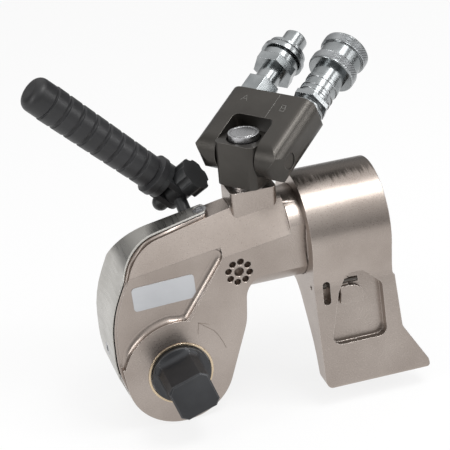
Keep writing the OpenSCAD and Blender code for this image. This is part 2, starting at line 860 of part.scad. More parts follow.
// Outlines of the turned pieces: [share of the length, share of sleeve_r]
advance_profile = [[0, 0.79], [0.18, 0.79], [0.18, 0.83], [0.33, 0.83], [0.33, 0.7], [0.37, 0.7],
                   [0.37, 0.955], [0.465, 0.955], [0.465, 0.85], [0.52, 0.85], [0.52, 0.79],
                   [0.54, 0.79], [0.54, 0.85], [0.6, 0.85], [0.6, 0.514], [0.97, 0.514],
                   [1, 0.45]];
retract_profile = [[0, 0.692], [0.05, 0.692], [0.05, 0.725], [0.085, 0.725], [0.085, 0.692],
                   [0.13, 0.692], [0.13, 0.725], [0.15, 0.725], [0.15, 0.692], [0.26, 0.692],
                   [0.26, 0.725], [0.32, 0.725], [0.32, 0.692], [1, 0.692]];
sleeve_profile = [[0, 0.97], [0.02, 1], [0.29, 1], [0.29, 0.918], [0.68, 0.918], [0.68, 0.993],
                  [0.95, 0.993], [1, 0.92]];

module at_coupler(side) {
    at_tilt() translate([side * coupler_pitch / 2, 0, fork_h]) children();
}

module turned(profile, length) {
    rotate_extrude() polygon(concat(
        [[0, 0]], [for (p = profile) [p[1] * sleeve_r, p[0] * length]], [[0, length]]));
}

module coupler_washers() {
    color([0.55, 0.56, 0.58])
    for (side = [-1, 1]) at_coupler(side) difference() {
        cylinder(h = washer_t, r = washer_r);
        translate([0, 0, -over]) cylinder(h = washer_t + 2 * over, r = port_r + run_gap);
    }
}

// Threaded stem into the fork, under a hexagon
module stem(length) {
    translate([0, 0, free_gap - port_d]) cylinder(h = port_d - free_gap + length, r = port_r);
}

module advance_nipple() {
    color([0.62, 0.63, 0.65])
    at_coupler(-1) difference() {
        union() {
            stem(nipple_len);
            translate([0, 0, washer_t]) hexagon(nipple_af, nipple_hex);
            translate([0, 0, washer_t]) cylinder(h = nipple_len - washer_t, r = nipple_neck_r);
        }
        translate([0, 0, -port_d]) cylinder(h = 2 * port_d + nipple_len, r = flow_r);
    }
}

module advance_coupler() {
    color([0.66, 0.67, 0.69])
    at_coupler(-1) translate([0, 0, nipple_len]) difference() {
        union() {
            hexagon(advance_af, advance_profile[1][0] * advance_len);
            turned(advance_profile, advance_len);
        }
        translate([0, 0, -over]) cylinder(h = 0.8 * advance_len, r = poppet_r + run_gap);
        translate([0, 0, 0.7 * advance_len]) cylinder(h = advance_len, r = flow_r);
    }
}

module advance_poppet() {
    color([0.75, 0.75, 0.76])
    at_coupler(-1) translate([0, 0, nipple_len]) {
        translate([0, 0, 0.4 * advance_len]) cylinder(h = 0.34 * advance_len, r = poppet_r);
        translate([0, 0, 0.7 * advance_len]) cylinder(h = 0.28 * advance_len, r = flow_r - free_gap);
    }
}

module retract_adapter() {
    collar = 0.64 * adapter_len;
    color([0.62, 0.63, 0.65])
    at_coupler(1) difference() {
        union() {
            stem(adapter_len);
            translate([0, 0, washer_t]) cylinder(h = adapter_len - washer_t, r = 0.4 * adapter_af);
            translate([0, 0, collar]) hexagon(adapter_af, adapter_len - collar);
        }
        translate([0, 0, -port_d]) cylinder(h = 2 * port_d + adapter_len, r = flow_r);
    }
}

module retract_body() {
    color([0.66, 0.67, 0.69])
    at_coupler(1) translate([0, 0, adapter_len]) difference() {
        turned(retract_profile, retract_len);
        translate([0, 0, -over]) cylinder(h = retract_len, r = flow_r);
        translate([0, 0, 0.25 * retract_len]) cylinder(h = retract_len, r = poppet_r + run_gap);
        translate([0, 0, retract_len - socket_d]) cylinder(h = retract_len, r = socket_r);
    }
}

// Knurled sleeve that is pulled back to free a hose
module retract_sleeve() {
    color([0.70, 0.71, 0.73])
    at_coupler(1) translate([0, 0, sleeve_end - sleeve_len]) difference() {
        turned(sleeve_profile, sleeve_len);
        translate([0, 0, -over]) cylinder(h = sleeve_len + 2 * over, r = retract_r + run_gap);
    }
}

module retract_poppet() {
    color([0.75, 0.75, 0.76])
    at_coupler(1) translate([0, 0, adapter_len + 0.3 * retract_len])
        cylinder(h = 0.3 * retract_len, r = poppet_r);
}

// Reaction arm on the barrel's splines, with an offset leg and foot
leg_front_y = leg_top_y + (leg_top_z + foot_drop) * tan(leg_lean);
leg_h = (leg_top_z + foot_drop) / cos(leg_lean);
pocket_d = 6;
pocket_floor = 41;
pocket_round = 5.5;
lever_w = 6.4;
lever_pin_r = 1.5;
lever_pivot = [1.03 * pocket_d, -0.67 * pocket_d];
lever_pin_end = lock_x + 1.7 * lock_w;
spring_r = 1.6 * lever_pin_r;
spring_pitch = 0.7 * lever_pin_r;
// Outlines of the lever and of its channel and slot in the leg, in pocket depths
lever_shares = [[0.27, -1.67, 0], [1, -1.67, 0], [1.58, -1.33, 0.33], [1.5, 0.5, 0.5],
                [2.33, 2.75, 0], [0.17, 2.75, 0.17], [0.5, -0.13, 0.1], [0.89, -0.13, 0],
                [0.89, -1, 0], [0.27, -1, 0]];
channel_shares = [[0.83, -1.75], [1.83, -1.75], [1.83, 0.67], [2.67, 2.97], [-0.23, 2.97],
                  [0.2, -0.25], [0.83, -0.25]];
thumb_shares = [[-0.13, -2.83, 0.17], [2.33, -2.83, 0.17], [2.33, -1.5, 0.33],
                [1.5, -1.05, 0.2], [0.2, -1.05, 0.2]];
slot_shares = [[0.8, -2.47, 0.37], [1.57, -2.47, 0.37], [1.67, -0.07, 0.37], [0.9, -0.07, 0.37]];
arm_bore_r = spline_tip_r + arm_gap;

// Moves children so that local Z runs up the leg's front face and local Y into the leg
module on_leg() {
    translate([0, -leg_top_y, leg_top_z]) rotate([-leg_lean, 0, 0]) children();
}

module leg_outline_yz() {
    polygon(rounded([
        [-ring_r, axis_h, 0], [-leg_top_y, leg_top_z, 0.8 * ring_r],
        [-leg_front_y, -foot_drop, 1.5], [-leg_front_y + 0.9 * leg_t, -foot_drop, 1],
        [-0.78 * ring_r, -0.05 * foot_drop, 2 * ring_r], [0, axis_h - 0.96 * ring_r, ring_r],
        [0.3 * ring_r, axis_h - 0.9 * ring_r, 0], [0, axis_h, 0]]));
}

module leg_outline_xz() {
    polygon(rounded([
        [arm_x, axis_h, 0], [arm_x, -foot_drop, 6],
        [arm_end + toe_out, -foot_drop, 3], [arm_end + 0.95 * toe_out, -0.74 * foot_drop, 2],
        [arm_end + 0.14 * toe_out, 0.37 * foot_drop, 5], [arm_end + 1.2, 0.6 * axis_h, 0],
        [arm_end, 0.62 * axis_h, 0], [arm_end, axis_h, 0]]));
}

module pocket_outline() {
    polygon(rounded([
        [arm_x + 6.4, -pocket_floor, pocket_round], [arm_end - 7.6, -pocket_floor, pocket_round],
        [arm_end - 7.2, -0.19 * pocket_floor, 5], [arm_x + 0.62 * ring_len, 2.4, 7],
        [arm_x + 0.42 * ring_len, 2.2, 5], [arm_x + 0.3 * ring_len, -0.2 * pocket_floor, 8]]));
}

module reaction_arm() {
    color([0.60, 0.55, 0.51])
    difference() {
        union() {
            at_cylinder_axis() round_x(ring_r, arm_x, arm_end);
            intersection() {
                rotate([90, 0, 90]) linear_extrude(2 * arm_end) leg_outline_yz();
                translate([0, ring_r, 0]) rotate([90, 0, 0]) linear_extrude(3 * ring_r) leg_outline_xz();
            }
        }
        // Splined bore with a relief at its mouth
        at_cylinder_axis() {
            translate([arm_x - over, 0, 0]) rotate([90, 0, 90]) linear_extrude(ring_len + 2 * over)
                polygon(spline_outline(spline_teeth, spline_tip_r + arm_gap,
                                       spline_root_r + arm_gap, arm_gap));
            round_x(barrel_r + free_gap, arm_x - over, spline_x + 2 * free_gap);
        }
        on_leg() {
            // Pocket in the front face
            translate([0, pocket_d, 0]) rotate([90, 0, 0]) linear_extrude(pocket_d + 2 * over) pocket_outline();
            // Channel for the lock lever, from the pocket to the bore
            translate([lock_x - free_gap, 0, 0]) rotate([90, 0, 90])
                linear_extrude(lock_w + 2 * free_gap) polygon(pocket_d * channel_shares);
            // Oblong slot over the lever's pin and spring
            translate([arm_x, lever_pivot[0] + spring_r + free_gap, 0]) rotate([90, 0, 0])
                linear_extrude(2 * pocket_d) polygon(rounded(pocket_d * slot_shares));
            translate([0, lever_pivot[0], lever_pivot[1]])
                round_x(lever_pin_r + run_gap, arm_x - over, lever_pin_end + over);
        }
    }
}

module lever_pin() {
    color([0.55, 0.55, 0.56])
    on_leg() translate([0, lever_pivot[0], lever_pivot[1]])
        round_x(lever_pin_r, arm_x + 2 * free_gap, lever_pin_end);
}

// Lever whose tooth drops into the groove, with a thumb pad in the pocket
module lock_lever() {
    thumb_t = 0.37 * pocket_d;
    color([0.50, 0.50, 0.50])
    difference() {
        on_leg() difference() {
            union() {
                translate([lock_x + (lock_w - lever_w) / 2, 0, 0]) rotate([90, 0, 90])
                    linear_extrude(lever_w) polygon(rounded(pocket_d * lever_shares));
                translate([lock_x, lever_shares[0][0] * pocket_d + thumb_t, 0]) rotate([90, 0, 0])
                    linear_extrude(thumb_t) polygon(rounded(pocket_d * thumb_shares));
            }
            translate([0, lever_pivot[0], lever_pivot[1]])
                round_x(lever_pin_r + run_gap, arm_x, arm_end);
        }
        at_cylinder_axis() round_x(spline_tip_r + free_gap, arm_x, arm_end);
    }
}

module lever_spring() {
    color([0.4, 0.4, 0.42])
    on_leg() translate([0, lever_pivot[0], lever_pivot[1]])
        for (i = [0 : 2]) translate([arm_x + pocket_d + i * spring_pitch, 0, 0]) difference() {
            round_x(spring_r, 0, 0.8 * spring_pitch);
            round_x(lever_pin_r + run_gap, -over, spring_pitch);
        }
}

// Positioning handle: an eye bolt in the +Y facet carries a tilting grip
handle_roll = atan((facet_n[2] * sin(handle_lean) + facet_n[0] * cos(handle_lean)) / facet_n[1]);
eye_centre = [seat_x, seat_y, seat_z] + eye_reach * facet_n;

module at_handle() {
    translate(eye_centre) rotate([0, -handle_lean, 0]) rotate([0, 0, -handle_roll]) children();
}

module handle_eye_bolt() {
    color([0.12, 0.12, 0.125])
    difference() {
        union() {
            at_handle_seat() {
                translate([0, 0, -eye_seat_d])
                    cylinder(h = eye_seat_d + over, r = eye_thread_r - run_gap);
                cylinder(h = 0.35 * eye_r, r = 0.95 * eye_r);
                cylinder(h = eye_reach, r = eye_neck_r);
            }
            at_handle() round_x(eye_r, -eye_t / 2, eye_t / 2);
        }
        at_handle() round_x(stud_r + run_gap, -eye_t, eye_t);
    }
}

base_r = 11.5;
cheek_t = 4;
base_in = eye_t / 2 + free_gap;
base_out = base_in + cheek_t;
lobe_r = 5.2;
lobe_out = 5.5;
knob_r = 12.25;
knob_body_r = 0.88 * knob_r;
base_plate_t = grip_start - knob_body_r - free_gap;
knob_lobes = 6;
knob_t = 9;
stud_back = 2;

// Forked base of the grip; its left cheek runs out to a rounded boss over the stud's end
module handle_base() {
    color([0.09, 0.09, 0.095])
    at_handle() difference() {
        union() {
            for (side = [0, 180]) rotate([0, 0, side]) {
                round_x(eye_r, base_in, base_out);
                slab(base_in, base_out, -eye_r, eye_r, 0, grip_start - base_plate_t / 2);
            }
            round_x(lobe_r, -base_out - lobe_out, -base_out);
            translate([-base_out - lobe_out, 0, 0]) sphere(r = lobe_r);
            translate([0, 0, grip_start - base_plate_t]) cylinder(h = base_plate_t, r = base_r);
        }
        round_x(stud_r + run_gap, -base_out - stud_back - run_gap, 2 * base_out);
    }
}

module handle_stud() {
    color([0.4, 0.4, 0.42])
    at_handle() round_x(stud_r, -base_out - stud_back, base_out + 0.6 * knob_t);
}

module handle_knob() {
    color([0.08, 0.08, 0.085])
    at_handle() translate([base_out + free_gap, 0, 0]) difference() {
        round_x(knob_body_r, 0, knob_t);
        for (i = [0 : knob_lobes - 1]) rotate([(i + 0.5) * 360 / knob_lobes, 0, 0])
            translate([0, 1.08 * knob_r, 0]) round_x(0.3 * knob_r, -over, knob_t + over);
        round_x(stud_r + run_gap, -over, 0.75 * knob_t);
    }
}

core_r = 6;
core_len = 0.88 * grip_len;
guard_t = 4;
guard_r = 1.14 * grip_r;
grip_rings = 8;
ring_pitch = (0.86 * grip_len - guard_t) / grip_rings;
grip_root_r = 0.87 * grip_r;
tip_round = 0.5 * grip_r;

module handle_core() {
    color([0.35, 0.35, 0.36])
    at_handle() translate([0, 0, grip_start]) cylinder(h = core_len, r = core_r);
}

// Ringed rubber grip, thicker towards its tip
module handle_grip() {
    step = (0.97 * grip_r - grip_root_r) / grip_rings;
    groove = 0.12 * ring_pitch;
    color([0.07, 0.07, 0.075])
    at_handle() translate([0, 0, grip_start]) rotate_extrude()
        difference() {
            polygon(concat(
                [[0, 0], [guard_r, 0], [guard_r, guard_t]],
                [for (i = [0 : grip_rings - 1])
                    let (r = grip_root_r + i * step, z = guard_t + i * ring_pitch)
                    each [[r, z + groove], [r + 0.6 * groove, z + 2 * groove],
                          [r + step + 0.6 * groove, z + ring_pitch - 0.5 * groove],
                          [r + step - 0.2 * groove, z + ring_pitch]]],
                [[grip_r, guard_t + grip_rings * ring_pitch + groove]],
                [for (a = [0 : 10 : 90])
                    [grip_r - tip_round, grip_len - tip_round] + polar(tip_round, a)],
                [[0, grip_len]]));
            square([core_r + run_gap, core_len]);
        }
}

housing();
end_cap();
end_cap_seal();
rod_seal();
bush_front();
bush_back();
shroud();
shroud_screws();
manifold_block();
swivel_post();
ratchet_wheel();
square_drive();
drive_retainer();
release_button();
drive_plates();
drive_pawl();
pawl_pin();
rod_pin();
piston_rod();
piston();
piston_seal();
piston_nut();
swivel_block();
swivel_cap();
swivel_circlip();
tilt_pins();
fork_manifold();
coupler_washers();
advance_nipple();
advance_coupler();
advance_poppet();
retract_adapter();
retract_body();
retract_sleeve();
retract_poppet();
reaction_arm();
lever_pin();
lock_lever();
lever_spring();
handle_eye_bolt();
handle_base();
handle_stud();
handle_knob();
handle_core();
handle_grip();
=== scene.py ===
import math

import bmesh
import bpy
from mathutils import Matrix, Vector


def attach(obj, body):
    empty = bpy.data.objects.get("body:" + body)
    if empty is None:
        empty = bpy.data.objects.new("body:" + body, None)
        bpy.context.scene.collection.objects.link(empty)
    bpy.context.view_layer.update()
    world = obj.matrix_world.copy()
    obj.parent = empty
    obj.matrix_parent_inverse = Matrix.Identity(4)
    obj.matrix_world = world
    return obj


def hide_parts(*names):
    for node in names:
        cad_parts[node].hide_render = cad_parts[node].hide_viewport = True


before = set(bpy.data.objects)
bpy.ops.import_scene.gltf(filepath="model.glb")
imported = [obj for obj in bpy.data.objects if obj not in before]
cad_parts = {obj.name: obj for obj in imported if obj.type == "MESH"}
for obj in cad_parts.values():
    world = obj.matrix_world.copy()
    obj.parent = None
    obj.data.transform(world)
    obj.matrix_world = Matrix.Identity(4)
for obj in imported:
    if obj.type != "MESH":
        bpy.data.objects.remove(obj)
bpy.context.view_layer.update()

MM = 0.001
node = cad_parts

# Stand for the picture
# The camera looks down on the drive side from the left. Soft lamps stand above,
# at the right and at the left, and the floor is a plain pale sheet under the nose.

scene = bpy.context.scene
scene.view_settings.view_transform = "Standard"

camera_data = bpy.data.cameras.new("camera")
camera_data.sensor_width = 36
camera_data.lens = 146.87
camera_data.clip_end = 20
camera = bpy.data.objects.new("camera", camera_data)
scene.collection.objects.link(camera)
camera_right = Vector((0.95396115, -0.28824737, -0.082895))
camera_down = Vector((-0.19851216, -0.39961358, -0.89493123))
camera_forward = Vector((0.22483561, 0.87018529, -0.43843643))
camera_place = (-0.2036, -0.9481, 0.5563)
turn = Matrix((camera_right, -camera_down, -camera_forward)).transposed()
camera.matrix_world = Matrix.Translation(camera_place) @ turn.to_4x4()
scene.camera = camera


def combine(tree, operation, *values):
    """Math node; each value is a socket or a plain number."""
    made = tree.nodes.new("ShaderNodeMath")
    made.operation = operation
    for place, value in enumerate(values):
        if isinstance(value, (int, float)):
            made.inputs[place].default_value = value
        else:
            tree.links.new(value, made.inputs[place])
    return made.outputs[0]


def span(tree, source, low, high, from_low=0.3, from_high=0.7):
    """Maps from_low..from_high of a value to low..high."""
    made = tree.nodes.new("ShaderNodeMapRange")
    tree.links.new(source, made.inputs["Value"])
    for socket, value in zip(("From Min", "From Max", "To Min", "To Max"),
                             (from_low, from_high, low, high)):
        made.inputs[socket].default_value = value
    return made.outputs[0]


world = bpy.data.worlds.new("studio")
scene.world = world
world.use_nodes = True
tree = world.node_tree
tree.nodes.clear()
rays = tree.nodes.new("ShaderNodeLightPath").outputs
seen = combine(tree, "MAXIMUM", rays["Is Camera Ray"], rays["Is Transmission Ray"])
# The room is pale overhead, darker towards the horizon and darkest at both sides
way = tree.nodes.new("ShaderNodeSeparateXYZ")
tree.links.new(tree.nodes.new("ShaderNodeTexCoord").outputs["Generated"], way.inputs[0])
overhead = span(tree, way.outputs["Z"], 0.22, 1.0, 0.05, 0.75)
aside = span(tree, combine(tree, "ABSOLUTE", way.outputs["X"]), 1.0, 0.3, 0.3, 0.85)
level = tree.nodes.new("ShaderNodeMix")
level.data_type = "FLOAT"
tree.links.new(seen, level.inputs[0])
tree.links.new(combine(tree, "MULTIPLY", overhead, aside), level.inputs[2])
level.inputs[3].default_value = 1.0
background = tree.nodes.new("ShaderNodeBackground")
background.inputs["Color"].default_value = (1, 1, 1, 1)
tree.links.new(level.outputs[0], background.inputs["Strength"])
shown = tree.nodes.new("ShaderNodeOutputWorld")
tree.links.new(background.outputs[0], shown.inputs["Surface"])


def soft_lamp(name, place, aim, size, watts):
    data = bpy.data.lights.new(name, "AREA")
    data.shape = "RECTANGLE"
    data.size, data.size_y = size
    data.energy = watts
    lamp = bpy.data.objects.new(name, data)
    scene.collection.objects.link(lamp)
    lamp.location = place
    beam = Vector(aim) - Vector(place)
    lamp.rotation_euler = beam.to_track_quat("-Z", "Y").to_euler()


middle = (0.05, 0.0, 0.06)
soft_lamp("top_lamp", (0.35, -0.28, 1.0), middle, (0.5, 0.3), 4)
soft_lamp("side_lamp", (0.85, -0.45, 0.45), middle, (0.25, 0.6), 2.5)
soft_lamp("left_lamp", (-0.9, -0.25, 0.5), middle, (0.3, 0.6), 3)

floor_z, floor_size, floor_white = -33.6 * MM, 8, 0.8
bpy.ops.mesh.primitive_grid_add(x_subdivisions=2, y_subdivisions=2, size=floor_size,
                                location=(0, 0, floor_z))
floor = bpy.context.object
floor.name = "floor"
floor_paper = bpy.data.materials.new("floor_paper")
floor_paper.use_nodes = True
tree = floor_paper.node_tree
tree.nodes.clear()
rays = tree.nodes.new("ShaderNodeLightPath").outputs
seen = combine(tree, "MAXIMUM", rays["Is Camera Ray"], rays["Is Glossy Ray"])
paper = tree.nodes.new("ShaderNodeBsdfDiffuse")
paper.inputs["Color"].default_value = (0.9, 0.9, 0.9, 1)
white = tree.nodes.new("ShaderNodeEmission")
white.inputs["Strength"].default_value = 1.0
mix = tree.nodes.new("ShaderNodeMixShader")
tree.links.new(combine(tree, "MULTIPLY", seen, floor_white), mix.inputs[0])
tree.links.new(paper.outputs[0], mix.inputs[1])
tree.links.new(white.outputs[0], mix.inputs[2])
shown = tree.nodes.new("ShaderNodeOutputMaterial")
tree.links.new(mix.outputs[0], shown.inputs["Surface"])
floor.data.materials.append(floor_paper)

# Housing
# One forging of alloy steel, milled on the cheeks and facets and nickel plated
# to a warm satin. The cylinder is bored in the same piece.


def ramp(tree, source, stops):
    """Colour ramp over a 0 to 1 value; stops are (place, colour)."""
    made = tree.nodes.new("ShaderNodeValToRGB")
    while len(made.color_ramp.elements) < len(stops):
        made.color_ramp.elements.new(0.5)
    for element, (place, colour) in zip(made.color_ramp.elements, stops):
        element.position = place
        element.color = (*colour, 1)
    tree.links.new(source, made.inputs["Fac"])
    return made.outputs["Color"]


def grain(tree, where, scale, detail, stretch=(1, 1, 1)):
    """Noise in the piece's own coordinates; scale is in marks per metre."""
    fit = tree.nodes.new("ShaderNodeMapping")
    fit.inputs["Scale"].default_value = stretch
    tree.links.new(where, fit.inputs["Vector"])
    noise = tree.nodes.new("ShaderNodeTexNoise")
    noise.inputs["Scale"].default_value = scale
    noise.inputs["Detail"].default_value = detail
    tree.links.new(fit.outputs[0], noise.inputs["Vector"])
    return noise.outputs["Fac"]


def blended(tree, share, first, second):
    """Mix of two colours; each is a socket or a plain colour."""
    made = tree.nodes.new("ShaderNodeMix")
    made.data_type = "RGBA"
    tree.links.new(share, made.inputs[0])
    for place, colour in ((6, first), (7, second)):
        if isinstance(colour, tuple):
            made.inputs[place].default_value = (*colour, 1)
        else:
            tree.links.new(colour, made.inputs[place])
    return made.outputs[2]


def plated(name, deep, pale, edge, rough, metallic=1.0, brushed=(1, 1, 1), mark=1400,
           bump=0.06, edge_mm=0.5, patch=28, edge_paling=1.0, shade=None):
    """Finish with mottled plating, fine tool marks and paler edges."""
    made = bpy.data.materials.new(name)
    made.use_nodes = True
    tree = made.node_tree
    shader = tree.nodes["Principled BSDF"]
    shader.inputs["Metallic"].default_value = metallic
    where = tree.nodes.new("ShaderNodeTexCoord").outputs["Object"]
    patches = grain(tree, where, patch, 5)
    colour = ramp(tree, patches, ((0.32, deep), (0.68, pale)))
    if shade:
        colour = shade(tree, where, colour)
    # Rounded edges catch the light, and the same round tells where the colour turns paler
    round_edge = tree.nodes.new("ShaderNodeBevel")
    round_edge.samples = 6
    round_edge.inputs["Radius"].default_value = edge_mm * MM
    flat = tree.nodes.new("ShaderNodeNewGeometry")
    facing = tree.nodes.new("ShaderNodeVectorMath")
    facing.operation = "DOT_PRODUCT"
    tree.links.new(round_edge.outputs[0], facing.inputs[0])
    tree.links.new(flat.outputs["Normal"], facing.inputs[1])
    pale_edge_share = span(tree, facing.outputs["Value"], edge_paling, 0.0, 0.82, 0.995)
    tree.links.new(blended(tree, pale_edge_share, colour, edge), shader.inputs["Base Color"])
    marks = grain(tree, where, mark, 3, brushed)
    tree.links.new(span(tree, marks, rough[0], rough[1]), shader.inputs["Roughness"])
    height = tree.nodes.new("ShaderNodeBump")
    height.inputs["Strength"].default_value = bump
    height.inputs["Distance"].default_value = 0.2 * MM
    tree.links.new(marks, height.inputs["Height"])
    tree.links.new(round_edge.outputs[0], height.inputs["Normal"])
    tree.links.new(height.outputs[0], shader.inputs["Normal"])
    return made


def dress(finish, *names):
    """Gives CAD nodes a finish."""
    for name in names:
        node[name].data.materials.clear()
        node[name].data.materials.append(finish)


def piece(name, mesh, finish, body):
    """Adds a visual piece that moves with a body."""
    made = bpy.data.objects.new(name, mesh)
    scene.collection.objects.link(made)
    mesh.materials.append(finish)
    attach(made, body)
    return made


def wall(build, below, above):
    """Closed strip of faces between two rings of points."""
    for i in range(len(below)):
        j = (i + 1) % len(below)
        build.faces.new((below[i], below[j], above[j], above[i]))


def closed(build, name):
    """Mesh of the built faces, all facing outward."""
    mesh = bpy.data.meshes.new(name)
    bmesh.ops.recalc_face_normals(build, faces=build.faces)
    build.to_mesh(mesh)
    build.free()
    return mesh


def everything(build):
    return build.verts[:] + build.edges[:] + build.faces[:]


def prism(name, outline, low, high, way="Y"):
    """Solid from a closed outline of (x, z) points, or (x, y) points when it rises along Z."""
    build = bmesh.new()
    ends = [[build.verts.new(Vector((a, at, b) if way == "Y" else (a, b, at)) * MM)
             for a, b in outline] for at in (low, high)]
    build.faces.new(ends[0])
    build.faces.new(ends[1][::-1])
    wall(build, *ends)
    return closed(build, name)


def rounded_box(half_w, half_h, corner_r):
    """Outline of a rectangle with round corners about its middle."""
    return [(sx * (half_w - corner_r) + corner_r * math.cos(a),
             sy * (half_h - corner_r) + corner_r * math.sin(a))
            for sx, sy, first in ((1, 1, 0), (-1, 1, 90), (-1, -1, 180), (1, -1, 270))
            for a in (math.radians(first + 15 * i) for i in range(7))]


def carved(name, source, tool_mesh, how):
    """Mesh of a CAD node after a cut; how is DIFFERENCE or INTERSECT."""
    work = bpy.data.objects.new(name, source.data.copy())
    work.data.transform(source.matrix_world)
    tool = bpy.data.objects.new("tool", tool_mesh)
    for made in (work, tool):
        scene.collection.objects.link(made)
    cut = work.modifiers.new("cut", "BOOLEAN")
    cut.object, cut.operation, cut.solver = tool, how, "EXACT"
    bpy.context.view_layer.update()
    mesh = bpy.data.meshes.new_from_object(
        work.evaluated_get(bpy.context.evaluated_depsgraph_get()))
    for made in (work, tool):
        bpy.data.objects.remove(made)
    mesh.materials.clear()
    if "custom_normal" in mesh.attributes:
        mesh.attributes.remove(mesh.attributes["custom_normal"])
    mesh.shade_smooth()
    mesh.set_sharp_from_angle(angle=math.radians(28))
    return mesh


def even_shading(obj):
    """Flat faces keep their own normal beside the rounded ones."""
    obj.modifiers.new("even_shading", "WEIGHTED_NORMAL").keep_sharp = True


nickel_tones = ((0.35, 0.300, 0.268), (0.46, 0.404, 0.366), (0.68, 0.62, 0.575))
nickel = plated("nickel_satin", *nickel_tones, (0.24, 0.40), mark=1800, patch=22)
dress(nickel, "housing", "manifold_block")

# The big facets run on over the barrel as far as the end of the head
facet_slope, facet_rise, head_end, facet_z = 1.3, 0.15, 74.3, 76.0
facet_start, clear_y, clear_z, ridge_y = 36.0, 44.0, 160.0, 0.01
build = bmesh.new()
for side in (-1, 1):
    ends = []
    for x in (facet_start, head_end):
        low = facet_z + facet_rise * (x - head_end)
        ends.append([build.verts.new(Vector((x, side * y, z)) * MM) for y, z in (
            (clear_y, low - 20 * facet_slope), (ridge_y, low + 23.99 * facet_slope),
            (ridge_y, clear_z), (clear_y, clear_z))])
    build.faces.new(ends[0])
    build.faces.new(ends[1][::-1])
    wall(build, *ends)
wedge = closed(build, "facet_wedge")
head = piece("housing_skin", carved("housing_skin", node["housing"], wedge, "DIFFERENCE"),
             nickel, "root")
even_shading(head)
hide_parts("housing")

# Block under the swivel, let into the flat and the facets
post_x, block_bottom, block_top = 57.5, 86.0, 102.97
pad = [(post_x + x, y) for x, y in rounded_box(14.0, 12.0, 3.0)]
block = piece("block_skin", prism("block_skin", pad, block_bottom, block_top, "Z"),
              nickel, "root")
even_shading(block)
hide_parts("manifold_block")

cheek_y = -24.0
recess_y = -20.0


def on_cheek(u, v, lift):
    return Vector((u, cheek_y - lift, v)) * MM


def rounded(points, steps=10):
    """Open path through [x, z, radius] corners, the inner ones rounded."""
    path = [Vector(points[0][:2])]
    for before, here, after in zip(points, points[1:], points[2:]):
        corner = Vector(here[:2])
        back, ahead = ((Vector(p[:2]) - corner).normalized() for p in (before, after))
        half = back.angle(ahead) / 2
        centre = corner + (back + ahead).normalized() * here[2] / math.sin(half)
        first = corner + back * here[2] / math.tan(half) - centre
        last = corner + ahead * here[2] / math.tan(half) - centre
        sweep = first.angle_signed(last)
        path += [centre + Matrix.Rotation(-sweep * i / steps, 2) @ first
                 for i in range(steps + 1)]
    return path + [Vector(points[-1][:2])]


# Wide scooped wall between the recess and the boss round the drive
boss_r, foot, shoulder, wall_top = 34.5, Vector((9.5, 34.5)), Vector((32.3, 70.0)), 92.0
scoop_w, scoop_h, blend_r, foot_r = 4.2, 3.95, 13.2, 5.5
arc_start, arc_step, arc_points = 164, 3, 24
arc = [Vector((boss_r * math.cos(a), boss_r * math.sin(a)))
       for a in (math.radians(arc_start - arc_step * i) for i in range(arc_points))]
bend = Vector((foot.x - 3.4, foot.y - 1.7))
path = arc + rounded([(*arc[-1], 0), (*bend, foot_r), (*shoulder, blend_r),
                      (shoulder.x, wall_top, 0)])[1:]
build = bmesh.new()
rows = []
for i, here in enumerate(path):
    along = (path[min(i + 1, len(path) - 1)] - path[max(i - 1, 0)]).normalized()
    out = Vector((-along.y, along.x))
    wide = scoop_w * min(1, 0.25 + i / 8)
    profile = [(-4.0, -0.1), (-0.05, 0.0)]
    profile += [(wide * (1 - math.cos(a)) + 0.02, -scoop_h * math.sin(a))
                for a in (math.radians(9 * k) for k in range(1, 11))]
    rows.append([build.verts.new(on_cheek(*(here + out * u), v)) for u, v in profile])
for one, two in zip(rows, rows[1:]):
    for k in range(len(one) - 1):
        build.faces.new((one[k], one[k + 1], two[k + 1], two[k]))
bmesh.ops.bisect_plane(build, geom=everything(build),
                       plane_co=Vector((head_end, cheek_y, facet_z - 0.1)) * MM,
                       plane_no=Vector((-facet_rise, -facet_slope, 1)), clear_outer=True)
mesh = closed(build, "recess_wall")
mesh.shade_smooth()
mesh.set_sharp_from_angle(angle=math.radians(35))
piece("recess_wall", mesh, nickel, "root")


def bar_mesh(name, strokes, width, thick, place):
    """Flat strokes [(u0, v0, u1, v1)] in a plane; place puts (u, v, lift) into the frame."""
    build = bmesh.new()
    for u0, v0, u1, v1 in strokes:
        length = math.hypot(u1 - u0, v1 - v0)
        du, dv = (u1 - u0) / length * width / 2, (v1 - v0) / length * width / 2
        ring = [(u0 - du - dv, v0 - dv + du), (u0 - du + dv, v0 - dv - du),
                (u1 + du + dv, v1 + dv - du), (u1 + du - dv, v1 + dv + du)]
        low = [build.verts.new(place(u, v, -thick)) for u, v in ring]
        high = [build.verts.new(place(u, v, thick)) for u, v in ring]
        build.faces.new(high)
        build.faces.new(low[::-1])
        wall(build, low, high)
    return closed(build, name)


# Shallow arrow on the boss that shows which way the square turns
def tail_point(step):
    turned = 0.2 * step
    return 22.5 + 9 * math.sin(turned), 23.6 - 12 * (1 - math.cos(turned)) - 2.4 * step


engraved = plated("engraving", (0.20, 0.16, 0.14), (0.26, 0.21, 0.18), (0.3, 0.25, 0.2),
                  (0.4, 0.55))
arrow_tip = (13.6, 30.9)
arrow = [(12.6, 23.6, *arrow_tip), (*arrow_tip, 20.4, 28.4), (*arrow_tip, *tail_point(0))]
arrow += [(*tail_point(i), *tail_point(i + 1)) for i in range(4)]
piece("direction_arrow", bar_mesh("direction_arrow", arrow, 0.28, 0.04, on_cheek), engraved,
      "root")

# Bare metal plate
# Thin aluminium plate with round corners, stuck in the recess of the cheek. It is
# brushed along its length.

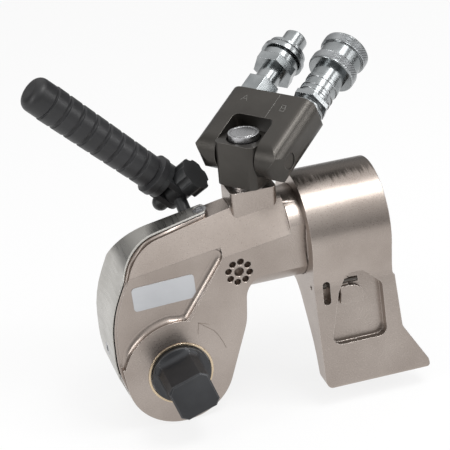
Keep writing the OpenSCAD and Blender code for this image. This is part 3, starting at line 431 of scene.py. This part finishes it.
label_half_w, label_half_h, label_round = 19.0, 7.75, 2.2
label_middle, label_tilt = Vector((-4.3, 0, 53.3)), math.radians(2.2)
turn_label = Matrix.Rotation(-label_tilt, 3, "Y")
build = bmesh.new()
faces = [[build.verts.new((label_middle + turn_label @ Vector((u, y, v))) * MM)
          for u, v in rounded_box(label_half_w, label_half_h, label_round)]
         for y in (recess_y + 0.05, recess_y - 0.35)]
build.faces.new(faces[0])
build.faces.new(faces[1][::-1])
wall(build, *faces)
silver = plated("label_silver", (0.55, 0.56, 0.58), (0.64, 0.65, 0.67), (0.8, 0.8, 0.82),
                (0.34, 0.44), brushed=(0.03, 1, 1), mark=2600, edge_mm=0.15)
piece("label_plate", closed(build, "label_plate"), silver, "root")

# Shroud
# Bent spring-steel band over the open rim of the head, bright from the grinding
# belt and held by two screws. The head's own rim shows as a line under its edge.

band = plated("ground_band", (0.40, 0.385, 0.355), (0.54, 0.525, 0.495), (0.74, 0.72, 0.69),
              (0.24, 0.36), brushed=(1, 0.06, 1), mark=900, bump=0.03)
dress(band, "shroud")
shroud_half_w, tail_half_w = 30, 20


def rim_outline(grow):
    """Side outline of the head with its free rim moved outward, closed through the inside."""
    left, edge, low_z, right = -35.2 - grow, 28.34, -4.59, 43.3
    path = rounded([(-32.68 - grow, low_z, 0), (left, 13.2, 2.33 * edge),
                    (left, 13.2 + edge + 0.2 * grow, 2.56 * edge),
                    (-18.3 - 0.8 * grow, 79.77 + grow, 32.0), (right, 92.95 + grow, 0)], 16)
    return [tuple(p) for p in path] + [(right, low_z)]


def inside(grow):
    return prism("inside", rim_outline(grow), -shroud_half_w, shroud_half_w)


sheet = piece("shroud_sheet", carved("shroud_sheet", node["shroud"], inside(2.2), "DIFFERENCE"),
              band, "root")
even_shading(sheet)
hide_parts("shroud")
build = bmesh.new()
build.from_mesh(carved("head_rim", node["shroud"], inside(1.5), "INTERSECT"))
for side in (-1, 1):
    cut = bmesh.ops.bisect_plane(
        build, geom=everything(build),
        plane_co=Vector((head_end, side * 24, facet_z - 1.6)) * MM,
        plane_no=Vector((-facet_rise, side * facet_slope, 1)), clear_outer=True)
    open_edges = [e for e in cut["geom_cut"] if isinstance(e, bmesh.types.BMEdge)]
    bmesh.ops.holes_fill(build, edges=open_edges)
piece("head_rim", closed(build, "head_rim"), nickel, "root")
tail = [(-36.75, 2.7), (-35.6, 2.7), (-31.15, -11.6)]
piece("shroud_tail", prism("shroud_tail", tail, -tail_half_w, tail_half_w), band, "root")
tail = [(-35.2, 2.7), (-32.6, 2.7), (-32.7, -4.6), (-31.4, -10.0)]
piece("rim_tail", prism("rim_tail", tail, -tail_half_w, tail_half_w), nickel, "root")

# Screws, ratchet and ram
# Turned, milled and ground alloy steel parts, left bare and oiled. Most of them
# run inside the head and the barrel.

steel = plated("turned_steel", (0.38, 0.38, 0.39), (0.50, 0.50, 0.51), (0.66, 0.66, 0.67),
               (0.24, 0.36))
dress(steel, "shroud_screws", "end_cap", "swivel_post", "ratchet_wheel", "release_button",
      "drive_plates", "drive_pawl", "pawl_pin", "rod_pin", "piston_rod", "piston",
      "piston_nut", "swivel_cap", "advance_poppet", "retract_poppet", "handle_stud",
      "handle_core")

# Square drive
# Forged steel square with broken corners, a black oxide skin and oil on it. It
# grows out of its round flange with a fillet.

oxide = plated("black_oxide", (0.034, 0.035, 0.038), (0.058, 0.060, 0.064), (0.16, 0.16, 0.165),
               (0.28, 0.44), metallic=0.6, mark=1300, bump=0.12)
dress(oxide, "square_drive", "drive_retainer")
drive_end, drive_root, flange_back, shaft_end = -54.0, -27.0, -23.6, 23.0
flange_r, shaft_r, root_r, drive_turn = 18.15, 12.2, 5.0, math.radians(-18.6)
half_square, corner_reach, end_break, flange_break = 12.7, 15.5, 0.9, 0.5
corner_angle = math.atan2(corner_reach * math.sqrt(2) - half_square, half_square)
flat_steps, corner_steps, root_steps = 12, 5, 8


def side_distance(a):
    """From the drive axis to the side of the square with broken corners, at an angle."""
    flat = half_square / max(abs(math.cos(a)), abs(math.sin(a)))
    a += math.pi / 4
    return min(flat, corner_reach / max(abs(math.cos(a)), abs(math.sin(a))))


marks = []
for quarter in (i * math.pi / 2 for i in range(4)):
    marks += [quarter - corner_angle + 2 * corner_angle * i / flat_steps
              for i in range(flat_steps)]
    marks += [quarter + corner_angle + (math.pi / 2 - 2 * corner_angle) * i / corner_steps
              for i in range(corner_steps)]
stations = [(drive_end, lambda a: side_distance(a) - end_break),
            (drive_end + end_break, side_distance)]
for i in range(root_steps + 1):
    s = root_r * i / root_steps
    swell = root_r - math.sqrt(root_r ** 2 - s ** 2)
    stations.append((drive_root - root_r + s, lambda a, swell=swell:
                     min(side_distance(a) + swell, flange_r - flange_break)))
stations += [(drive_root, lambda a: flange_r - flange_break),
             (drive_root + flange_break, lambda a: flange_r),
             (flange_back, lambda a: flange_r), (flange_back, lambda a: shaft_r),
             (shaft_end, lambda a: shaft_r)]
build = bmesh.new()
rows = [[build.verts.new(Vector((reach(a) * math.cos(a + drive_turn), y,
                                 -reach(a) * math.sin(a + drive_turn))) * MM) for a in marks]
        for y, reach in stations]
for one, two in zip(rows, rows[1:]):
    wall(build, one, two)
build.faces.new(rows[0][::-1])
build.faces.new(rows[-1])
mesh = closed(build, "drive_square")
mesh.shade_smooth()
mesh.set_sharp_from_angle(angle=math.radians(24))
square = piece("drive_square", mesh, oxide, "drive")
even_shading(square)
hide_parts("square_drive")

# Hole in the left flat for the pin that keeps a socket on
pin_hole_r, pin_hole_depth, pin_hole_y = 2.4, 8, -41.85
flat_way = Vector((-math.cos(drive_turn), 0, math.sin(drive_turn)))
bpy.ops.mesh.primitive_cylinder_add(vertices=32, radius=pin_hole_r * MM,
                                    depth=pin_hole_depth * MM)
drill = bpy.context.object
drill.matrix_world = (
    Matrix.Translation(flat_way * half_square * MM + Vector((0, pin_hole_y * MM, 0)))
    @ flat_way.to_track_quat("Z", "Y").to_matrix().to_4x4())
pin_hole = square.modifiers.new("hole", "BOOLEAN")
pin_hole.object = drill
pin_hole.solver = "EXACT"
bpy.context.view_layer.update()
holed = bpy.data.meshes.new_from_object(
    square.evaluated_get(bpy.context.evaluated_depsgraph_get()))
square.modifiers.clear()
square.data = holed
bpy.data.objects.remove(drill)

# Drive bushes
# Turned bronze rings pressed into the cheeks. The square runs in them.

bronze = plated("bronze", (0.55, 0.43, 0.29), (0.70, 0.57, 0.41), (0.85, 0.75, 0.6), (0.2, 0.32))
dress(bronze, "bush_front", "bush_back")

# Swivel
# Block and fork machined from bar and phosphated to a dark satin. The letters
# and the score line are cut into the front of the fork.

phosphate = plated("phosphate", (0.050, 0.046, 0.041), (0.078, 0.072, 0.065),
                   (0.20, 0.19, 0.175), (0.28, 0.42), metallic=0.7, mark=1600, bump=0.1)
dress(phosphate, "swivel_block", "fork_manifold", "swivel_circlip", "tilt_pins")

tilt_height, tilt_back, swivel_angle, fork_angle = 121.95, 1.5, -52, -66.5
fork_front, fork_face = -12.8, 38.0
fork_frame = (Matrix.Translation((post_x, 0, 0))
              @ Matrix.Rotation(math.radians(swivel_angle), 4, "Z")
              @ Matrix.Translation((0, tilt_back, tilt_height))
              @ Matrix.Rotation(math.radians(fork_angle), 4, "X"))


def on_fork(u, v, lift):
    return (fork_frame @ Vector((u, fork_front - lift, v))) * MM


scratch = plated("cut_letters", (0.15, 0.145, 0.135), (0.22, 0.21, 0.20), (0.3, 0.3, 0.28),
                 (0.3, 0.45), metallic=0.8)
letter_a = [(-16.3, 28.0, -14.2, 32.2), (-14.2, 32.2, -12.1, 28.0), (-15.5, 29.4, -12.9, 29.4)]
letter_b = [(12.8, 25.0, 12.8, 29.6), (12.8, 29.6, 15.4, 29.6), (15.4, 29.6, 15.4, 27.4),
            (12.8, 27.3, 15.8, 27.3), (15.8, 27.3, 15.8, 25.0), (12.8, 25.0, 15.8, 25.0)]
piece("port_letters", bar_mesh("port_letters", letter_a + letter_b, 0.45, 0.03, on_fork),
      scratch, "fork")
piece("score_line", bar_mesh("score_line", [(6.9, 18.4, 6.9, 36.8)], 0.35, 0.03, on_fork),
      scratch, "fork")

# Couplers
# Turned steel bodies with a bright zinc plate, screwed into the fork. The sleeve
# of the female one has two knurled bands.

zinc = plated("zinc_plate", (0.235, 0.25, 0.255), (0.375, 0.39, 0.395), (0.63, 0.64, 0.65),
              (0.18, 0.30), patch=70)
dress(zinc, "coupler_washers", "advance_nipple", "advance_coupler", "retract_adapter",
      "retract_body", "retract_sleeve")

coupler_len, coupler_x, sleeve_r = 57.0, 19.0, 14.6
sleeve_len = 0.395 * coupler_len
sleeve_start = 0.965 * coupler_len - sleeve_len
knurl_count, knurl_depth, knurl_sink = 64, 0.32, -0.03


def knurl(name, low, high, radius):
    """Band of diamond knurling round a coupler, between two heights over the fork."""
    build = bmesh.new()
    rows = max(4, 2 * round((high - low) / (math.pi * radius / knurl_count) / 2))
    rings = []
    for j in range(rows + 1):
        ring = []
        for i in range(2 * knurl_count):
            reach = radius + (knurl_depth if (i + j) % 2 and 0 < j < rows else knurl_sink)
            a = math.pi * i / knurl_count
            ring.append(build.verts.new((fork_frame @ Vector((
                coupler_x + reach * math.cos(a), reach * math.sin(a),
                fork_face + low + (high - low) * j / rows))) * MM))
        rings.append(ring)
    for below, above in zip(rings, rings[1:]):
        wall(build, below, above)
    mesh = bpy.data.meshes.new(name)
    build.to_mesh(mesh)
    build.free()
    return mesh


knurled = plated("knurled_zinc", (0.28, 0.29, 0.30), (0.40, 0.41, 0.415), (0.66, 0.67, 0.68),
                 (0.28, 0.40), edge_mm=0.1, patch=70)
for name, low, high, share in (("knurl_low", 0.03, 0.285, 1.0), ("knurl_high", 0.69, 0.94, 0.993)):
    piece(name, knurl(name, sleeve_start + low * sleeve_len, sleeve_start + high * sleeve_len,
                      share * sleeve_r), knurled, "sleeve")

# Reaction arm
# Forged and milled arm with a splined bore, nickel plated like the housing. The top of its ring
# has dark upright streaks, partly marks from the belt and partly painted shade that stands for the
# dark room it reflects.


def belt_streaks_and_painted_shade(tree, where, colour):
    """Painted shade and belt marks: dark ragged streaks on the faces that look up and away from
    the drive, partly real belt marks and partly a painted dark reflection.
    """
    shape = tree.nodes.new("ShaderNodeNewGeometry")
    way = tree.nodes.new("ShaderNodeSeparateXYZ")
    tree.links.new(shape.outputs["Normal"], way.inputs[0])
    jag = grain(tree, where, 700, 5, (1, 0.05, 0.05))
    reach = combine(tree, "MULTIPLY_ADD", jag, 0.7, way.outputs["Y"])
    # Painted shade: faces that look up and back are darkened, with the noise giving ragged streaks
    dark = combine(tree, "MULTIPLY", span(tree, reach, 0.0, 0.8, 0.02, 0.16),
                   span(tree, way.outputs["Z"], 0.0, 1.0, 0.5, 0.7))
    return blended(tree, dark, colour, (0.10, 0.085, 0.072))


arm_nickel = plated("arm_nickel", *nickel_tones, (0.24, 0.40), mark=1800, patch=22,
                    shade=belt_streaks_and_painted_shade)
dress(arm_nickel, "reaction_arm")

# Lock lever
# Small plated lever in the pocket of the arm, on a cross pin. A bent spring holds
# it in the splines.

dress(nickel, "lock_lever")
# Spring and pin get a far darker steel than the turned parts: painted shade of the pocket they sit
# in
pocket_shaded_steel = plated("pocket_shaded_steel", (0.13, 0.12, 0.112), (0.20, 0.186, 0.172),
                      (0.42, 0.40, 0.37), (0.30, 0.42))
dress(pocket_shaded_steel, "lever_spring", "lever_pin")

# Handle
# Rubber grip on a steel stem, with a moulded clamp and hand knob. The same black
# rubber makes the seals.

rubber = plated("grip_rubber", (0.014, 0.014, 0.015), (0.024, 0.024, 0.026),
                (0.045, 0.045, 0.048), (0.36, 0.52), metallic=0.0, mark=2000, bump=0.2)
plastic = plated("moulded_plastic", (0.016, 0.017, 0.018), (0.025, 0.026, 0.027),
                 (0.055, 0.056, 0.058), (0.34, 0.48), metallic=0.0, mark=1600, bump=0.12)
dress(rubber, "end_cap_seal", "rod_seal", "piston_seal", "handle_grip")
dress(plastic, "handle_eye_bolt", "handle_base", "handle_knob")
